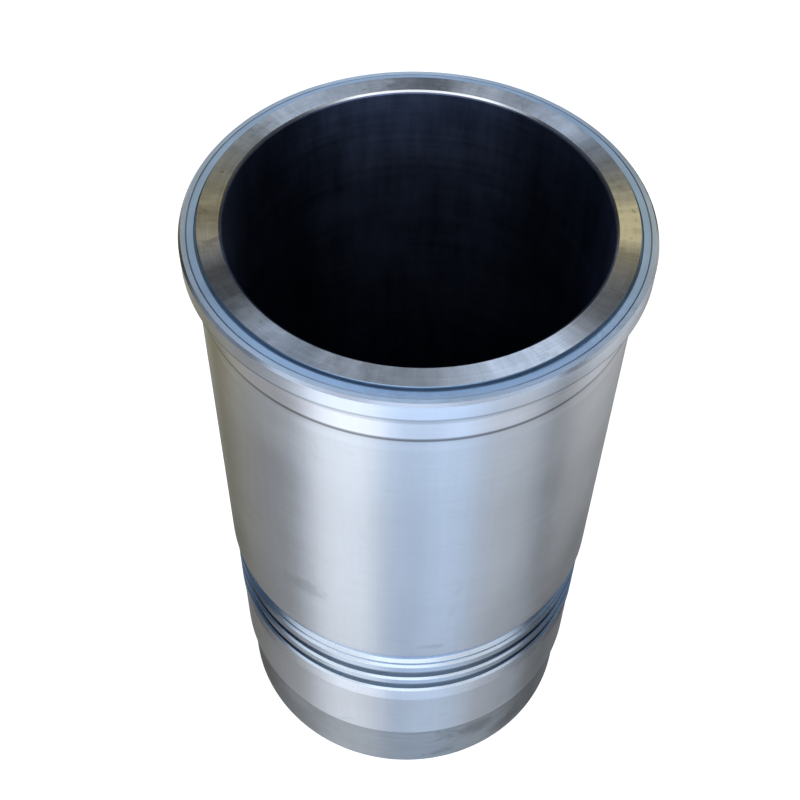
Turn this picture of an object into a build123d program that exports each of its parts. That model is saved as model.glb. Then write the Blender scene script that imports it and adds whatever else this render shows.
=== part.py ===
from build123d import *
import os

os.makedirs("parts", exist_ok=True)

# Wet cylinder liner for a heavy-duty diesel: one turned solid of revolution.
# Part frame: millimetres, +Z up along the bore axis, origin at the centre of
# the bottom end face.  Depths "t_" are measured down from the top land.

length = 290.0            # bottom end face to top land

# bore
bore_r = 70.0             # honed running bore
mouth_c = 1.1             # 45 degree chamfer at the bore mouth
tail_c = 1.5              # 45 degree chamfer at the bottom of the bore

# top face: raised land, relief at its foot, ledge, outer edge
land_r = 79.0             # outside of the raised top land
land_edge = 0.25          # edge break on the land
ledge_t = 1.5             # ledge lies this far under the land
relief_w = 0.8            # width of the relief at the foot of the land
relief_t = 2.1            # depth of that relief below the land
score_r = 82.5            # fine turned score line on the ledge
score_w = 0.36
score_d = 0.25
rim_r = 84.55             # where the outer chamfer of the flange starts
flange_r = 85.45          # flange outside
rim_t = 2.7               # where the outer chamfer ends
seat_t = 10.1             # underside of the flange, the seat in the block
seat_c = 0.5              # chamfer under the flange

# upper pilot under the flange
pilot_r = 81.3
corner_r = 80.7           # undercut in the corner, cut into pilot and seat
corner_t = 11.8
corner_up = 0.3           # depth of the undercut in the seat
corner_w = 0.9            # width of the undercut in the seat, past the pilot
pilot_t0 = 12.4
pilot_t1 = 25.1
pilot_c = 0.3

# blend from the pilot into the body
neck_r = 80.55
neck_t0 = 25.55
neck_t1 = 26.4
neck_t2 = 32.0

# body
body_r = 81.0
body_t1 = 175.95
body_c = 0.2

# wide seal groove with a stepped lower shoulder
crev_r = 77.9
crev_t0 = body_t1 + body_c
crev_t1 = 184.8
crev_mid_r = 79.17
crev_mid_t = 187.8
seal_r = 80.1             # lands between the seal grooves

# two ring grooves
ring_depth = 3.2
ring_up_c = 0.6           # chamfer on the upper edge of each groove
ring_lo_c = 0.9           # chamfer on the lower edge of each groove
ring_root = 0.5           # root radius
ring1_t0 = 193.15
ring1_t1 = 199.88
ring2_t0 = 203.80
ring2_t1 = 210.45
seal_t1 = 219.0           # end of the last seal land

# lower pilot and tail
low_r = 79.7
low_t0 = 219.4
low_t1 = 254.9
low_c = 0.3
tail_r = 77.9
tail_t0 = 255.9
end_c = 0.8               # chamfer round the bottom end


def z(t):
    return length - t


def ring(t0, t1):
    """Ring groove between its two edges on the seal lands, top to bottom."""
    root = seal_r - ring_depth
    q = ring_root
    k = q * (1 - 2 ** -0.5)
    up = t0 + ring_up_c
    lo = t1 - ring_lo_c
    return [
        ("L", seal_r, t0),
        ("L", seal_r - ring_up_c, up),
        ("L", root + q, up),
        ("A", (root + k, up + k), (root, up + q)),
        ("L", root, lo - q),
        ("A", (root + k, lo - k), (root + q, lo)),
        ("L", seal_r - ring_lo_c, lo),
        ("L", seal_r, t1),
    ]


# Section outline, clockwise from the lip of the bore mouth: ("L", radius,
# depth) is a straight run, ("A", mid, end) an arc through mid.
outline = [
    ("L", land_r - land_edge, 0.0),
    ("L", land_r, land_edge),
    ("L", land_r, relief_t),
    ("L", land_r + relief_w * 0.75, relief_t),
    ("L", land_r + relief_w, ledge_t),
    ("L", score_r - score_w / 2, ledge_t),
    ("L", score_r, ledge_t + score_d),
    ("L", score_r + score_w / 2, ledge_t),
    ("L", rim_r, ledge_t),
    ("L", flange_r, rim_t),
    ("L", flange_r, seat_t - seat_c),
    ("L", flange_r - seat_c, seat_t),
    ("L", pilot_r + corner_w, seat_t),
    ("L", pilot_r + corner_w - 0.5, seat_t - corner_up),
    ("L", corner_r + 0.3, seat_t - corner_up),
    ("A", (corner_r + 0.088, seat_t - corner_up + 0.088), (corner_r, seat_t - corner_up + 0.3)),
    ("L", corner_r, corner_t),
    ("L", pilot_r, pilot_t0),
    ("L", pilot_r, pilot_t1),
    ("L", pilot_r - pilot_c, pilot_t1 + pilot_c),
    ("L", neck_r, neck_t0),
    ("L", neck_r, neck_t1),
    ("A", (neck_r + 0.16, (neck_t1 + neck_t2) / 2 - 0.15), (body_r, neck_t2)),
    ("L", body_r, body_t1),
    ("L", body_r - body_c, crev_t0),
    ("L", crev_r + 0.4, crev_t0),
    ("A", (crev_r + 0.117, crev_t0 + 0.117), (crev_r, crev_t0 + 0.4)),
    ("L", crev_r, crev_t1),
    ("L", crev_mid_r, crev_t1 + crev_mid_r - crev_r),
    ("L", crev_mid_r, crev_mid_t),
    ("L", seal_r, crev_mid_t + seal_r - crev_mid_r),
]
outline += ring(ring1_t0, ring1_t1)
outline += ring(ring2_t0, ring2_t1)
outline += [
    ("L", seal_r, seal_t1),
    ("L", low_r, low_t0),
    ("L", low_r, low_t1),
    ("L", low_r - low_c, low_t1 + low_c),
    ("L", tail_r + 0.6, low_t1 + low_c),
    ("A", (tail_r + 0.18, low_t1 + low_c + 0.18), (tail_r, tail_t0)),
    ("L", tail_r, length - end_c),
    ("L", tail_r - end_c, length),
    ("L", bore_r + tail_c, length),
    ("L", bore_r, length - tail_c),
    ("L", bore_r, mouth_c),
    ("L", bore_r + mouth_c, 0.0),
]

edges = []
r0, t0 = bore_r + mouth_c, 0.0
for item in outline:
    if item[0] == "L":
        r1, t1 = item[1], item[2]
        edges.append(Line((r0, 0, z(t0)), (r1, 0, z(t1))))
    else:
        (rm, tm), (r1, t1) = item[1], item[2]
        edges.append(ThreePointArc((r0, 0, z(t0)), (rm, 0, z(tm)), (r1, 0, z(t1))))
    r0, t0 = r1, t1

section = Face(Wire(edges))
liner = revolve(section, axis=Axis.Z).solids()[0]

export_step(liner, "parts/liner.step")
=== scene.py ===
import math

import bpy
from mathutils import Matrix, Vector


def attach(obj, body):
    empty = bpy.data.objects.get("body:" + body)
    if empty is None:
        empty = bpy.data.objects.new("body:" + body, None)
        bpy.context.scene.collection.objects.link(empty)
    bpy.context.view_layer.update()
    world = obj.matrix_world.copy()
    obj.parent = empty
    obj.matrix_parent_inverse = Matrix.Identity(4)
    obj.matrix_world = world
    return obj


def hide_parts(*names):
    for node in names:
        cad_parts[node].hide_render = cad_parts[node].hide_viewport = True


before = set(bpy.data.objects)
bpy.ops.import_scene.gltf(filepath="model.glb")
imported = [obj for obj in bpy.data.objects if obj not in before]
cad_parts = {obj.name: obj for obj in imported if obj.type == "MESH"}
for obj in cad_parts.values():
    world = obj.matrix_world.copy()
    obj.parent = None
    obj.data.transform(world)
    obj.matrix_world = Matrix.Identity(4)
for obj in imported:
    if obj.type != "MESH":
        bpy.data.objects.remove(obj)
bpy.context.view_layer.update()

# ---------------------------------------------------------------- section
# Radii and depths in mm.  Depth t is measured down from the top land, so a
# point's height is LENGTH - t.  Each corner is (radius, depth, edge radius,
# zone of the run that leaves it).
LENGTH = 290.0
BORE = 70.0
SEAL = 80.1
ROOT = SEAL - 3.2


def ring(t0, t1, after):
    """Corners of one ring groove, top to bottom, between two seal lands."""
    return [
        (SEAL, t0, 0.10, "under"),
        (SEAL - 0.6, t0 + 0.6, 0.08, "groove"),
        (ROOT, t0 + 0.6, 0.50, "groove"),
        (ROOT, t1 - 0.9, 0.50, "wall"),
        (SEAL - 0.9, t1 - 0.9, 0.08, "edge"),
        (SEAL, t1, 0.12, after),
    ]


neck = []
for i in range(7):
    s = i / 6
    neck.append((80.55 + 0.45 * (s * s * (1.6 - 0.6 * s)), 26.4 + 5.6 * s, 0.0, "body"))

corners = [
    (BORE + 1.1, 0.0, 0.10, "land"),
    (78.75, 0.0, 0.08, "relief"),
    (79.0, 0.25, 0.08, "relief"),
    (79.0, 2.1, 0.10, "relief"),
    (79.6, 2.1, 0.10, "relief"),
    (79.8, 1.5, 0.06, "ledge"),
    (82.24, 1.5, 0.05, "score"),
    (82.5, 1.75, 0.06, "score"),
    (82.76, 1.5, 0.05, "outer"),
    (84.50, 1.5, 0.12, "rim"),
    (85.40, 2.7, 0.15, "flange"),
    (85.40, 9.6, 0.15, "under"),
    (84.90, 10.1, 0.10, "under"),
    (82.2, 10.1, 0.05, "under"),
    (81.7, 9.8, 0.05, "under"),
    (80.7, 9.8, 0.30, "under"),
    (80.7, 11.8, 0.15, "under"),
    (81.3, 12.4, 0.08, "pilot"),
    (81.3, 25.1, 0.08, "under"),
    (81.0, 25.4, 0.05, "under"),
    (80.55, 25.55, 0.10, "body"),
] + neck[:-1] + [
    (81.0, 32.0, 0.0, "body"),
    (81.0, 175.95, 0.10, "edge"),
    (80.8, 176.15, 0.05, "under"),
    (77.9, 176.15, 0.40, "wide"),
    (77.9, 184.8, 0.15, "edge"),
    (79.17, 186.07, 0.10, "seal"),
    (79.17, 187.8, 0.10, "edge"),
    (SEAL, 188.73, 0.12, "seal"),
] + ring(193.15, 199.88, "seal") + ring(203.80, 210.45, "guide") + [
    (SEAL, 219.0, 0.15, "guide"),
    (79.7, 219.4, 0.15, "lower"),
    (79.7, 254.9, 0.10, "tail"),
    (79.4, 255.2, 0.06, "tail"),
    (77.9, 255.2, 0.60, "tail"),
    (77.9, 289.2, 0.15, "tail"),
    (77.1, 290.0, 0.15, "end"),
    (BORE + 1.5, 290.0, 0.15, "end"),
    (BORE, 288.5, 0.15, "bore"),
    (BORE, 1.1, 0.10, "bore"),
    (BORE + 0.42, 0.68, 0.0, "mouth"),
]

ZONES = ["land", "relief", "ledge", "score", "outer", "rim", "flange", "under", "pilot", "body",
         "edge", "wide", "groove", "wall", "seal", "guide", "lower", "tail", "end", "bore", "mouth"]
AROUND = 320


def profile(points):
    """Rounds each corner.  Returns rings as (radius, height, normal, zone)."""
    pts = [(r, LENGTH - t, q, zone) for r, t, q, zone in points]
    n = len(pts)
    out = []
    for i in range(n):
        (r0, z0, _, zin), (r1, z1, q, zout), (r2, z2, _, _) = (
            pts[i - 1], pts[i], pts[(i + 1) % n])
        a, b = Vector((r0 - r1, z0 - z1)), Vector((r2 - r1, z2 - z1))
        la, lb = a.length, b.length
        a, b = a / la, b / lb
        turn = math.pi - math.acos(max(-1.0, min(1.0, a.dot(b))))
        na, nb = Vector((a.y, -a.x)), Vector((-b.y, b.x))
        if q <= 0 or turn < 0.02:
            m = (na + nb).normalized()
            out.append((r1, z1, m, zout))
            continue
        cut = min(q * math.tan(turn / 2), 0.45 * la, 0.45 * lb)
        q = cut / math.tan(turn / 2)
        steps = max(1, min(5, round(turn / math.radians(20)))) if q > 0.2 else (
            3 if turn > math.radians(60) else 2)
        side = 1 if a.cross(b) > 0 else -1       # 1 where metal is inside the turn
        p0 = Vector((r1, z1)) + a * cut
        centre = p0 - na * q if side > 0 else p0 + na * q
        for k in range(steps + 1):
            s = k / steps
            ang = side * -turn * s
            m = Vector((na.x * math.cos(ang) - na.y * math.sin(ang),
                        na.x * math.sin(ang) + na.y * math.cos(ang)))
            p = centre + m * q if side > 0 else centre - m * q
            out.append((p.x, p.y, m, zin if s < 0.5 else zout))
    return out


def divided(rings, longest):
    """Adds rings on the long straight runs, so that no face is a long sliver."""
    out = []
    n = len(rings)
    for i in range(n):
        r0, z0, m0, zone = rings[i]
        r1, z1, m1, _ = rings[(i + 1) % n]
        out.append(rings[i])
        gap = math.hypot(r1 - r0, z1 - z0)
        parts = max(1, math.ceil(gap / longest))
        for k in range(1, parts):
            s = k / parts
            out.append((r0 + (r1 - r0) * s, z0 + (z1 - z0) * s, m0, zone))
    return out


rings = divided(profile(corners), 6.0)
count = len(rings)
along = [0.0]
for i in range(count):
    r0, z0 = rings[i][:2]
    r1, z1 = rings[(i + 1) % count][:2]
    along.append(along[-1] + math.hypot(r1 - r0, z1 - z0))

verts, normals = [], []
for k in range(AROUND):
    a = 2 * math.pi * k / AROUND
    sa, ca = math.sin(a), math.cos(a)
    for r, z, m, _ in rings:
        verts.append((r * sa / 1000, -r * ca / 1000, z / 1000))
        normals.append((m.x * sa, -m.x * ca, m.y))
faces, zones, uvs = [], [], []
for k in range(AROUND):
    k1 = (k + 1) % AROUND
    for i in range(count):
        i1 = (i + 1) % count
        faces.append((k * count + i, k * count + i1, k1 * count + i1, k1 * count + i))
        zones.append(ZONES.index(rings[i][3]))
        u0, u1 = k / AROUND, (k + 1) / AROUND
        v0, v1 = along[i] / along[-1], along[i + 1] / along[-1]
        uvs += [(u0, v0), (u0, v1), (u1, v1), (u1, v0)]

mesh = bpy.data.meshes.new("liner_turned")
mesh.from_pydata(verts, [], faces)
mesh.polygons.foreach_set("material_index", zones)
mesh.polygons.foreach_set("use_smooth", [True] * len(faces))
uv = mesh.uv_layers.new(name="OFBake")
uv.data.foreach_set("uv", [c for pair in uvs for c in pair])
mesh.update()
mesh.normals_split_custom_set_from_vertices(normals)
liner = bpy.data.objects.new("liner_turned", mesh)
bpy.context.scene.collection.objects.link(liner)
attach(liner, "root")
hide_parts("liner")
print("triangles", 2 * len(faces), "rings", count)


# -------------------------------------------------------------- materials
class Tree:
    """A small builder for one material's nodes."""

    def __init__(self, tree):
        self.tree = tree
        tree.nodes.clear()

    def add(self, kind, **values):
        node = self.tree.nodes.new(kind)
        for key, value in values.items():
            setattr(node, key, value)
        return node

    def link(self, source, target):
        if isinstance(source, (int, float)):
            target.default_value = source
        elif isinstance(source, (tuple, list)):
            target.default_value = source
        else:
            self.tree.links.new(source, target)

    def math(self, op, a, b=None, c=None, clamp=False):
        node = self.add("ShaderNodeMath", operation=op, use_clamp=clamp)
        for socket, value in zip(node.inputs, (a, b, c)):
            if value is not None:
                self.link(value, socket)
        return node.outputs[0]

    def vmath(self, op, a, b=None, scale=None):
        node = self.add("ShaderNodeVectorMath", operation=op)
        self.link(a, node.inputs[0])
        if b is not None:
            self.link(b, node.inputs[1])
        if scale is not None:
            self.link(scale, node.inputs["Scale"])
        return node.outputs["Value"] if op in ("LENGTH", "DOT_PRODUCT") else node.outputs[0]

    def combine(self, x, y, z):
        node = self.add("ShaderNodeCombineXYZ")
        for socket, value in zip(node.inputs, (x, y, z)):
            self.link(value, socket)
        return node.outputs[0]

    def noise(self, vector, scale, detail=3.0, rough=0.55, distort=0.0):
        node = self.add("ShaderNodeTexNoise", noise_dimensions="3D")
        self.link(vector, node.inputs["Vector"])
        node.inputs["Scale"].default_value = scale
        node.inputs["Detail"].default_value = detail
        node.inputs["Roughness"].default_value = rough
        node.inputs["Distortion"].default_value = distort
        return node.outputs["Fac"]

    def remap(self, value, a, b, c=0.0, d=1.0, smooth=True):
        node = self.add("ShaderNodeMapRange",
                        interpolation_type="SMOOTHSTEP" if smooth else "LINEAR")
        self.link(value, node.inputs["Value"])
        for name, x in (("From Min", a), ("From Max", b), ("To Min", c), ("To Max", d)):
            self.link(x, node.inputs[name])
        return node.outputs["Result"]

    def mix(self, fac, a, b, blend="MIX"):
        node = self.add("ShaderNodeMix", data_type="RGBA", blend_type=blend)
        self.link(fac, node.inputs[0])
        self.link(a if not isinstance(a, tuple) else (*a, 1.0)[:4], node.inputs[6])
        self.link(b if not isinstance(b, tuple) else (*b, 1.0)[:4], node.inputs[7])
        return node.outputs[2]


def turned(name, colour, rough, aniso, face=False, lines=0.5, stain=0.0,
           spread=0.06, contrast=0.12, blotch=0.0, hone=False, specks=0.0, grime_and_shade=(), shade_bands=(), smudges_and_painted_light=(), streak=0.05, wipe=26.0,
           side_shade=None):
    """A machined metal.  face: the tool marks are rings on a flat face, and
    otherwise rings round a wall."""
    m = bpy.data.materials.new(name)
    m.use_nodes = True
    t = Tree(m.node_tree)
    out = t.add("ShaderNodeOutputMaterial")
    bsdf = t.add("ShaderNodeBsdfPrincipled")
    t.link(bsdf.outputs[0], out.inputs["Surface"])
    place = t.vmath("SCALE", t.add("ShaderNodeTexCoord").outputs["Object"], scale=1000.0)
    split = t.add("ShaderNodeSeparateXYZ")
    t.link(place, split.inputs[0])
    x, y, z = split.outputs
    radius = t.math("SQRT", t.math("ADD", t.math("MULTIPLY", x, x), t.math("MULTIPLY", y, y)))
    cx, cy = t.math("DIVIDE", x, radius), t.math("DIVIDE", y, radius)
    run = radius if face else z
    # fine tool marks: long round the part, short across the feed
    fine = t.noise(t.combine(t.math("MULTIPLY", cx, 3.0), t.math("MULTIPLY", cy, 3.0),
                             t.math("MULTIPLY", run, 3.2)), 1.0, 3.0, 0.6)
    broad = t.noise(t.combine(t.math("MULTIPLY", cx, 1.1), t.math("MULTIPLY", cy, 1.1),
                              t.math("MULTIPLY", run, 0.45)), 1.0, 2.0, 0.5)
    cloud = t.noise(place, 0.035, 4.0, 0.6, 0.4)
    grain = t.noise(place, 1.6, 2.0, 0.6)
    mottle = t.noise(place, 0.22, 5.0, 0.65)
    # colour
    tone = t.math("ADD", t.math("MULTIPLY", t.math("SUBTRACT", fine, 0.5), contrast),
                  t.math("MULTIPLY", t.math("SUBTRACT", broad, 0.5), contrast * 0.8))
    tone = t.math("ADD", tone, t.math("MULTIPLY", t.math("SUBTRACT", cloud, 0.5), contrast * 0.9))
    # faint streaks across the tool marks, as handling and wiping leave them
    wiped = t.noise(t.combine(t.math("MULTIPLY", cx, wipe), t.math("MULTIPLY", cy, wipe),
                              t.math("MULTIPLY", run, 0.02)), 1.0, 4.0, 0.65)
    tone = t.math("ADD", tone, t.math("MULTIPLY", t.math("SUBTRACT", wiped, 0.5), streak * 2.0))
    gain = t.math("ADD", 1.0, tone)
    base = t.vmath("SCALE", (colour[0], colour[1], colour[2]), scale=gain)
    if stain > 0:
        mark = t.remap(t.noise(place, 0.075, 3.0, 0.55, 0.8), 0.60, 0.74)
        base = t.mix(t.math("MULTIPLY", mark, stain), base,
                     (colour[0] * 0.55, colour[1] * 0.53, colour[2] * 0.50))
    if blotch > 0:
        mark = t.remap(mottle, 0.46, 0.62)
        base = t.mix(t.math("MULTIPLY", mark, blotch), base,
                     (colour[0] * 1.55, colour[1] * 1.55, colour[2] * 1.6))
    if specks > 0:
        spot = t.math("MULTIPLY", t.remap(t.noise(place, 0.42, 2.0, 0.5, 0.3), 0.66, 0.74),
                      t.remap(t.noise(place, 0.030, 2.0, 0.5), 0.50, 0.62))
        base = t.mix(t.math("MULTIPLY", spot, specks), base,
                     (colour[0] * 0.50, colour[1] * 0.40, colour[2] * 0.32))
    depth = t.math("SUBTRACT", LENGTH, z)
    # scales the colour between two depths: painted shade under edges and steps, painted light on the upper body, and
    # the tail's darker rough finish
    for clear, dark, keep in grime_and_shade:
        dim = t.remap(depth, clear, dark, 1.0, keep)
        base = t.vmath("SCALE", base, scale=dim)
    # painted shade: dark lines at given depths along the part
    for centre, half, keep in shade_bands:
        off = t.math("ABSOLUTE", t.math("SUBTRACT", depth, centre))
        base = t.vmath("SCALE", base, scale=t.remap(off, half * 0.3, half, keep, 1.0))
    # patches darker or lighter by azimuth and depth: a few are real smudges, most are painted shade and painted
    # reflections
    for az, at, wide, tall, keep in smudges_and_painted_light:
        turn = t.math("ARCTAN2", x, t.math("MULTIPLY", y, -1.0))
        turn = t.math("WRAP", t.math("SUBTRACT", turn, math.radians(az)), math.pi, -math.pi)
        da = t.math("DIVIDE", turn, math.radians(wide))
        dt = t.math("DIVIDE", t.math("SUBTRACT", depth, at), tall)
        far = t.math("SQRT", t.math("ADD", t.math("MULTIPLY", da, da), t.math("MULTIPLY", dt, dt)))
        ragged = 1.2 if tall < 20 else 0.12
        far = t.math("ADD", far, t.math("MULTIPLY", t.math("SUBTRACT", mottle, 0.5), ragged))
        base = t.vmath("SCALE", base, scale=t.remap(far, 0.3, 1.1, keep, 1.0))
    # painted shade: the colour turns darker and bluer with azimuth away from the front
    if side_shade:
        turn = t.math("ABSOLUTE", t.math("ARCTAN2", x, t.math("MULTIPLY", y, -1.0)))
        keep = side_shade[2]
        side_shade_colour = t.vmath("MULTIPLY", base, (keep * 0.66, keep * 0.96, keep * 1.40))
        base = t.mix(t.remap(turn, math.radians(side_shade[0]), math.radians(side_shade[1])), base, side_shade_colour)
    t.link(base, bsdf.inputs["Base Color"])
    bsdf.inputs["Metallic"].default_value = 1.0
    # roughness
    r = t.math("ADD", rough, t.math("MULTIPLY", t.math("SUBTRACT", cloud, 0.5), spread * 2))
    r = t.math("ADD", r, t.math("MULTIPLY", t.math("SUBTRACT", broad, 0.5), spread))
    t.link(t.math("MAXIMUM", r, 0.05), bsdf.inputs["Roughness"])
    bsdf.inputs["Anisotropic"].default_value = aniso
    if aniso > 0:
        rnd = t.vmath("NORMALIZE", t.combine(t.math("MULTIPLY", y, -1.0), x, 0.0))
        across = t.vmath("NORMALIZE", t.combine(x, y, 0.0)) if face else (0.0, 0.0, 1.0)
        if face:
            t.link(across, bsdf.inputs["Tangent"])
        else:
            t.link(t.combine(0.0, 0.0, 1.0), bsdf.inputs["Tangent"])
    # relief
    height = t.math("ADD", t.math("MULTIPLY", fine, lines), t.math("MULTIPLY", grain, 0.10 * lines))
    if hone:
        turn = t.math("ARCTAN2", x, y)
        arc = t.math("MULTIPLY", turn, BORE)
        for sign in (1.0, -1.0):
            w = t.math("ADD", t.math("MULTIPLY", arc, 0.5 * sign), t.math("MULTIPLY", z, 0.866))
            across_w = t.math("SUBTRACT", t.math("MULTIPLY", arc, 0.866 * sign), t.math("MULTIPLY", z, 0.5))
            scratch = t.noise(t.combine(t.math("MULTIPLY", w, 1.7), t.math("MULTIPLY", across_w, 0.02), 3.0 * sign), 1.0, 2.0, 0.6)
            height = t.math("ADD", height, t.math("MULTIPLY", scratch, lines * 1.2))
    bump = t.add("ShaderNodeBump")
    bump.inputs["Strength"].default_value = 1.0
    bump.inputs["Distance"].default_value = 0.00002
    t.link(height, bump.inputs["Height"])
    t.link(bump.outputs[0], bsdf.inputs["Normal"])
    return m


steel = (0.60, 0.61, 0.63)
# All zones are one steel; where a zone's colour differs from the body steel, the comment above it says what is painted
recipes = {
    # painted reflections: the patches lighten and darken sectors of the turned face by azimuth
    "land": turned("land_turned_face", (0.52, 0.52, 0.53), 0.31, 1.0, face=True, lines=0.6,
                   stain=0.5, contrast=0.5, specks=0.8, streak=0.6, wipe=11.0, blotch=0.2,
                   smudges_and_painted_light=((180.0, 0.0, 14.0, 8.0, 0.56), (163.0, 0.0, 9.0, 8.0, 1.45), (135.0, 0.0, 13.0, 8.0, 1.25),
                            (91.0, 0.0, 16.0, 8.0, 1.70), (30.0, 0.0, 30.0, 8.0, 1.25), (-30.0, 0.0, 12.0, 8.0, 0.68),
                            (-60.0, 0.0, 12.0, 8.0, 0.66), (-76.0, 0.0, 9.0, 8.0, 1.6), (56.0, 0.0, 8.0, 8.0, 0.92))),
    # painted shade: the dark blue colour of this recess; its patches are painted light and shade
    "relief": turned("relief_dark", (0.30, 0.40, 0.52), 0.35, 0.5, face=True, lines=0.1,
                     smudges_and_painted_light=((0.0, 1.5, 26.0, 8.0, 1.15), (72.0, 1.5, 12.0, 8.0, 0.6))),
    # painted reflection: the blue tint of the ground ledge; its patch is painted shade
    "ledge": turned("ledge_ground", (0.58, 0.73, 0.92), 0.36, 0.5, face=True, contrast=0.3,
                    smudges_and_painted_light=((24.0, 1.5, 42.0, 8.0, 0.70),)),
    # painted shade: the dark blue colour of the score line
    "score": turned("score_line", (0.32, 0.42, 0.58), 0.36, 0.5, face=True, lines=0.1),
    # painted reflection: the blue tint; the patches are painted light and shade
    "outer": turned("ledge_outer", (0.70, 0.79, 0.90), 0.36, 0.5, face=True, contrast=0.3,
                    smudges_and_painted_light=((28.0, 1.5, 36.0, 8.0, 0.68), (118.0, 1.5, 20.0, 8.0, 0.80),
                             (-172.0, 1.5, 30.0, 8.0, 1.15))),
    # painted light and shade: the patches on the rim chamfer
    "rim": turned("rim_chamfer", (0.62, 0.65, 0.71), 0.24, 0.5, lines=0.1,
                  smudges_and_painted_light=((50.0, 2.0, 18.0, 8.0, 1.35), (77.0, 2.0, 9.0, 8.0, 0.75), (-62.0, 2.0, 12.0, 8.0, 0.75))),
    # painted light: colour brighter and bluer than the body steel; the darkening at the lower edge is painted shade,
    # the patches painted light and shade
    "flange": turned("flange_side", (0.77, 0.81, 0.88), 0.33, 0.7, stain=0.15, specks=0.5,
                     grime_and_shade=((8.4, 9.4, 0.55),), smudges_and_painted_light=((45.0, 5.0, 13.0, 30.0, 1.12), (-45.0, 5.0, 13.0, 30.0, 0.84))),
    # painted shade: downward faces and groove lips get a dark copy of the steel
    "under": turned("under_flange", (0.34, 0.35, 0.37), 0.38, 0.5, face=True, lines=0.2),
    # painted light: colour brighter than the body steel; the darkening under the flange and at the neck is painted
    # shade, the patches painted light and shade
    "pilot": turned("upper_pilot", (0.84, 0.85, 0.89), 0.33, 0.7,
                    grime_and_shade=((23.8, 24.9, 0.34), (17.0, 15.4, 0.75)),
                    smudges_and_painted_light=((2.0, 20.0, 9.0, 40.0, 0.86), (56.0, 20.0, 14.0, 40.0, 1.12))),
    # the depth scaling paints shade at the neck, light on the upper body and shade on the lower body; the small
    # patches at 140.5 and 168.5 mm are smudges, the larger ones painted light and shade
    "body": turned("body_satin", steel, 0.36, 0.7, stain=0.10, grime_and_shade=((27.3, 26.4, 0.34), (80.0, 36.0, 1.08), (120.0, 172.0, 0.94)),
                   smudges_and_painted_light=((-30.5, 140.5, 8.5, 6.0, 0.82), (8.5, 168.5, 5.0, 2.4, 0.84),
                            (-2.0, 105.0, 11.0, 160.0, 0.88), (60.0, 180.0, 18.0, 70.0, 0.68), (60.0, 110.0, 16.0, 70.0, 0.88),
                            (-72.0, 60.0, 10.0, 90.0, 1.15),
                            (30.0, 176.0, 10.0, 60.0, 0.90), (-37.0, 36.0, 10.0, 24.0, 1.14))),
    # painted highlight: the broken edges get a bright copy of the steel, with painted shade towards the sides
    "edge": turned("broken_edges", (0.90, 0.95, 1.0), 0.24, 0.4, lines=0.1, side_shade=(26.0, 54.0, 0.30)),
    # painted shade: the groove faces get darker, bluer copies of the steel, darker still towards the sides
    "wide": turned("wide_groove", (0.42, 0.47, 0.55), 0.26, 0.5, lines=0.12, side_shade=(20.0, 56.0, 0.50)),
    "groove": turned("groove_root", (0.50, 0.57, 0.64), 0.27, 0.4, lines=0.12, side_shade=(20.0, 56.0, 0.28)),
    "wall": turned("groove_wall", (0.40, 0.45, 0.50), 0.30, 0.4, lines=0.12, side_shade=(20.0, 56.0, 0.32)),
    # painted reflection: bluer than the body steel; the bands paint dark shade lines at the groove lips and the
    # crevice wall, and the patches and side colour are painted shade
    "seal": turned("seal_land", (0.61, 0.69, 0.80), 0.24, 0.4, lines=0.15,
                   shade_bands=((192.95, 0.7, 0.55), (203.6, 0.7, 0.55), (186.95, 1.3, 0.58)),
                   smudges_and_painted_light=((-46.0, 196.0, 14.0, 60.0, 0.52), (31.0, 196.0, 12.0, 60.0, 0.68)),
                   side_shade=(52.0, 72.0, 0.75)),
    # painted light: brighter than the body steel; the patches are painted shade
    "guide": turned("guide_land", (0.78, 0.81, 0.87), 0.28, 0.6, lines=0.2,
                    smudges_and_painted_light=((62.0, 215.0, 14.0, 30.0, 0.62), (-46.0, 215.0, 13.0, 30.0, 0.70), (31.0, 215.0, 10.0, 30.0, 0.80))),
    # painted shade: the dark line above the step and the patches
    "lower": turned("lower_pilot", (0.60, 0.61, 0.63), 0.36, 0.7, stain=0.2,
                    grime_and_shade=((253.8, 254.7, 0.38),),
                    smudges_and_painted_light=((61.0, 237.0, 18.0, 70.0, 0.60), (30.0, 237.0, 10.0, 70.0, 0.86), (-5.0, 237.0, 12.0, 70.0, 0.92))),
    # darker below 260 mm for the rough finish; the broad patch at 62 degrees is painted shade, the small patches are
    # smudges
    "tail": turned("tail_rough", (0.43, 0.44, 0.45), 0.42, 0.6, stain=0.5, contrast=0.4,
                   grime_and_shade=((257.6, 260.0, 0.80),),
                   smudges_and_painted_light=((62.0, 270.0, 18.0, 60.0, 0.68), (28.0, 268.0, 8.0, 9.0, 0.70), (40.0, 281.0, 10.0, 7.0, 0.72), (-42.0, 264.0, 11.0, 9.0, 1.25),
                            (-62.0, 275.0, 12.0, 12.0, 0.85))),
    "end": turned("end_face", (0.40, 0.41, 0.43), 0.40, 0.5, face=True),
    # painted sheen at the back top and painted shade at the sides, by the patches
    "bore": turned("bore_honed", (0.15, 0.185, 0.30), 0.45, 0.3, hone=True, contrast=0.6, streak=0.8,
                   wipe=7.0, smudges_and_painted_light=((-160.0, 17.0, 30.0, 26.0, 1.7), (-122.0, 60.0, 36.0, 300.0, 0.50),
                                      (124.0, 60.0, 36.0, 300.0, 0.50))),
    # painted highlight: the mouth chamfer gets a brighter copy of the steel
    "mouth": turned("mouth_chamfer", (0.90, 0.93, 0.97), 0.20, 0.3, lines=0.1),
}
for zone in ZONES:
    mesh.materials.append(recipes[zone])

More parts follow.
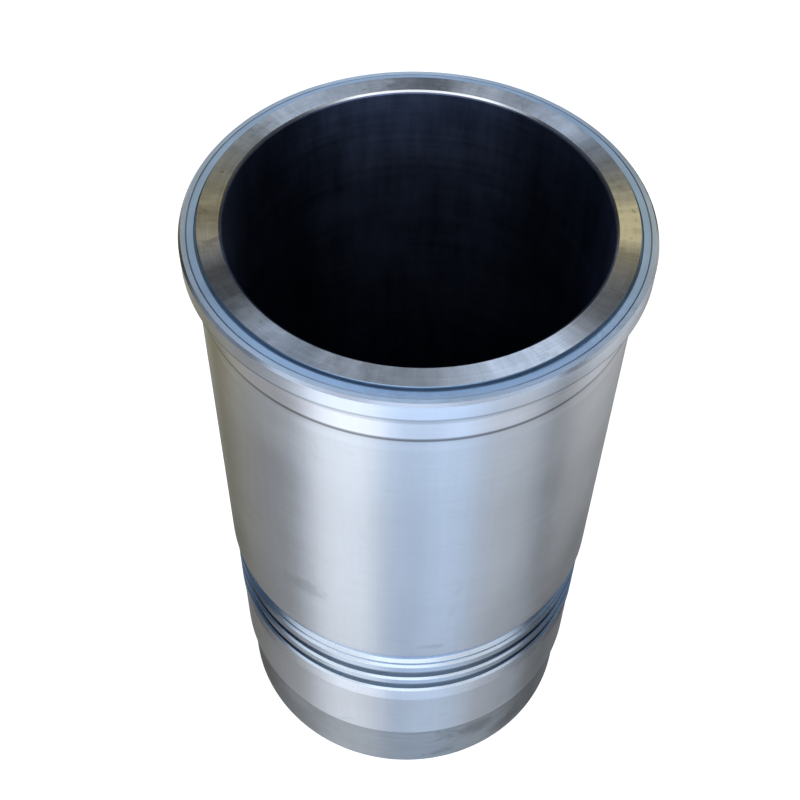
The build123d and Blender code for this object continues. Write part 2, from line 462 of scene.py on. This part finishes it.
# ------------------------------------------------------------------ floor
floor_mesh = bpy.data.meshes.new("floor")
S = 6.0
floor_mesh.from_pydata([(-S, -S, 0), (S, -S, 0), (S, S, 0), (-S, S, 0)], [], [(0, 1, 2, 3)])
floor = bpy.data.objects.new("floor", floor_mesh)
bpy.context.scene.collection.objects.link(floor)
fm = bpy.data.materials.new("floor_pale")
fm.use_nodes = True
fb = fm.node_tree.nodes["Principled BSDF"]
fb.inputs["Base Color"].default_value = (0.92, 0.92, 0.92, 1)
fb.inputs["Roughness"].default_value = 0.9
fb.inputs["Specular IOR Level"].default_value = 0.0
fb.inputs["Emission Color"].default_value = (1.0, 1.0, 1.0, 1)
fb.inputs["Emission Strength"].default_value = 0.82
fm.cycles.emission_sampling = "NONE"
floor_mesh.materials.append(fm)
floor.visible_glossy = False
floor.visible_shadow = False
# a dark disc under the liner's open bottom, hidden from the camera: painted shade, so that the inside of the liner
# mirrors dark
shade_mesh = bpy.data.meshes.new("bore_shade")
shade_mesh.from_pydata([(0.0711 * math.sin(i * math.pi / 32), 0.0711 * math.cos(i * math.pi / 32), 0.0004)
                        for i in range(64)], [], [tuple(range(63, -1, -1))])
shade = bpy.data.objects.new("bore_shade", shade_mesh)
bpy.context.scene.collection.objects.link(shade)
sm = bpy.data.materials.new("bore_shade")
sm.use_nodes = True
sm.node_tree.nodes["Principled BSDF"].inputs["Base Color"].default_value = (0.02, 0.02, 0.02, 1)
sm.node_tree.nodes["Principled BSDF"].inputs["Specular IOR Level"].default_value = 0.0
shade_mesh.materials.append(sm)
shade.visible_camera = False

# ---------------------------------------------------------------- backdrop
# A pale dome, seen only by the camera, behind the floor in low views.
dome_verts, dome_faces = [], []
for i in range(25):
    e = math.pi * (i / 24 - 0.5)
    for k in range(48):
        a = 2 * math.pi * k / 48
        dome_verts.append((8 * math.cos(e) * math.sin(a), 8 * math.cos(e) * math.cos(a), 8 * math.sin(e)))
for i in range(24):
    for k in range(48):
        k1 = (k + 1) % 48
        dome_faces.append((i * 48 + k, i * 48 + k1, (i + 1) * 48 + k1, (i + 1) * 48 + k))
dome_mesh = bpy.data.meshes.new("backdrop")
dome_mesh.from_pydata(dome_verts, [], dome_faces)
dome = bpy.data.objects.new("backdrop", dome_mesh)
bpy.context.scene.collection.objects.link(dome)
dm = bpy.data.materials.new("backdrop_pale")
dm.use_nodes = True
dt = Tree(dm.node_tree)
pale = dt.add("ShaderNodeEmission")
pale.inputs["Color"].default_value = (1.0, 1.0, 1.0, 1)
pale.inputs["Strength"].default_value = 1.0
dt.link(pale.outputs[0], dt.add("ShaderNodeOutputMaterial").inputs["Surface"])
dm.cycles.emission_sampling = "NONE"
dome_mesh.materials.append(dm)
dome.visible_glossy = dome.visible_diffuse = dome.visible_shadow = False
dome.visible_transmission = dome.visible_volume_scatter = False

# ------------------------------------------------------------------ light
# The studio: soft boxes all round, each (azimuth, elevation, half width,
# half height, softness, colour, strength), in degrees.  Azimuth 0 is in
# front of the liner, where the camera is, and 90 is to its right.
NEUTRAL, COOL = (1.0, 1.0, 1.0), (0.86, 0.92, 1.0)
BLUE, WARM = (0.60, 0.76, 1.0), (1.0, 0.85, 0.38)
boxes = [
    ("low_left", -86, -32, 22, 28, 18, 40, NEUTRAL, 0.37),
    ("low_key", -35, -32, 20, 28, 18, 40, COOL, 1.6),
    ("low_front", 10, -32, 25, 28, 18, 40, BLUE, 1.35),
    ("low_right", 55, -32, 19, 28, 18, 40, COOL, 0.77),
    ("under_left", -60, -78, 52, 14, 24, 20, NEUTRAL, 0.77),
    ("under_right", 50, -78, 52, 14, 24, 20, COOL, 0.6),
    ("mid_side", 107, -25, 30, 16, 16, 20, NEUTRAL, 0.9),
    ("mid_low", 104, -46, 19, 7, 16, 12, COOL, 0.36),
    ("low_back", -169, -34, 27, 28, 24, 40, COOL, 0.8),
    ("mid_left", -118, -30, 28, 16, 16, 20, WARM, 0.26),
    ("front_low", 0, 2, 60, 12, 16, 14, BLUE, 1.5),
    ("front_left", -40, 30, 26, 18, 14, 14, COOL, 0.65),
    ("front_right", 25, 30, 40, 18, 14, 14, COOL, 0.5),
    ("front_mid", 0, 25, 17, 12, 12, 12, BLUE, 0.55),
    ("front_high", 0, 47, 50, 10, 14, 8, NEUTRAL, 1.0),
    ("side_right", 95, 4, 24, 10, 14, 12, COOL, 0.55),
    ("side_left", -88, 6, 20, 10, 14, 12, BLUE, 0.30),
    ("shoulder_right", 104, 58, 22, 8, 12, 8, COOL, 1.15),
    ("shoulder_left", -104, 57, 20, 9, 12, 8, BLUE, 1.3),
    ("top_right", 140, 63, 30, 6, 12, 8, BLUE, 2.9),
    ("top_left", -135, 63, 22, 6, 12, 8, BLUE, 2.1),
    ("warm_right", 147, 30, 11, 9, 8, 8, WARM, 1.75),
    ("warm_left", -152, 29, 14, 9, 8, 8, WARM, 0.6),
    ("back_low", 180, 34, 10, 6, 8, 6, COOL, 0.85),
    ("back_high", 180, 53, 12, 5, 8, 6, BLUE, 2.05),
]
world = bpy.data.worlds.new("studio")
bpy.context.scene.world = world
world.use_nodes = True
w = Tree(world.node_tree)
wout = w.add("ShaderNodeOutputWorld")
background = w.add("ShaderNodeBackground")
w.link(background.outputs[0], wout.inputs["Surface"])
direction = w.vmath("NORMALIZE", w.add("ShaderNodeTexCoord").outputs["Generated"])
sep = w.add("ShaderNodeSeparateXYZ")
w.link(direction, sep.inputs[0])
dx, dy, dz = sep.outputs
azimuth = w.math("ARCTAN2", dx, w.math("MULTIPLY", dy, -1.0))
elevation = w.math("ARCSINE", dz)
total = w.mix(w.remap(dz, -0.3, 0.9), (0.01, 0.01, 0.01), (0.04, 0.04, 0.04))
total.node.name = "ambient"
for name, az, el, half_w, half_h, soft_w, soft_h, colour, strength in boxes:
    da = w.math("SUBTRACT", azimuth, math.radians(az))
    da = w.math("ABSOLUTE", w.math("WRAP", da, math.pi, -math.pi))
    de = w.math("ABSOLUTE", w.math("SUBTRACT", elevation, math.radians(el)))
    ma = w.remap(da, math.radians(half_w - soft_w / 2), math.radians(half_w + soft_w / 2), 1.0, 0.0)
    me = w.remap(de, math.radians(half_h - soft_h / 2), math.radians(half_h + soft_h / 2), 1.0, 0.0)
    mask = w.math("MULTIPLY", w.math("MULTIPLY", ma, me), strength)
    mask.node.name = "power_" + name
    lit = w.vmath("SCALE", colour, scale=mask)
    lit.node.name = "tint_" + name
    total = w.vmath("ADD", total, lit)
w.link(total, background.inputs["Color"])
background.inputs["Strength"].default_value = 1.0

# ----------------------------------------------------------------- camera
K = 1.00865
dist, rise = 0.337604 * K, 0.314782 * K
pan, tilt, roll = math.radians(-0.844), math.radians(51.146), math.radians(1.336)
forward = Vector((math.sin(pan) * math.cos(tilt), math.cos(pan) * math.cos(tilt), -math.sin(tilt)))
right = Vector((math.cos(pan), -math.sin(pan), 0))
up = right.cross(forward)
cam_x = math.cos(roll) * right + math.sin(roll) * up
cam_y = -math.sin(roll) * right + math.cos(roll) * up
forward = (forward - cam_x * (0.56 / 1298) + cam_y * (0.8 / 1298)).normalized()
cam_x = (cam_x - forward * cam_x.dot(forward)).normalized()
cam_y = cam_x.cross(forward)
camera = bpy.data.objects.new("camera", bpy.data.cameras.new("camera"))
bpy.context.scene.collection.objects.link(camera)
rot = Matrix((cam_x, cam_y, -forward)).transposed()
camera.matrix_world = Matrix.Translation((0, -dist, LENGTH / 1000 + rise)) @ rot.to_4x4()
camera.data.sensor_fit = "HORIZONTAL"
camera.data.sensor_width = 36.0
camera.data.lens = 1298.063 / 800 * 36.0
camera.data.clip_start, camera.data.clip_end = 0.01, 50.0
bpy.context.scene.camera = camera

view = bpy.context.scene.view_settings
view.view_transform = "Standard"
view.look = "None"
view.exposure = 0.0
view.gamma = 1.0
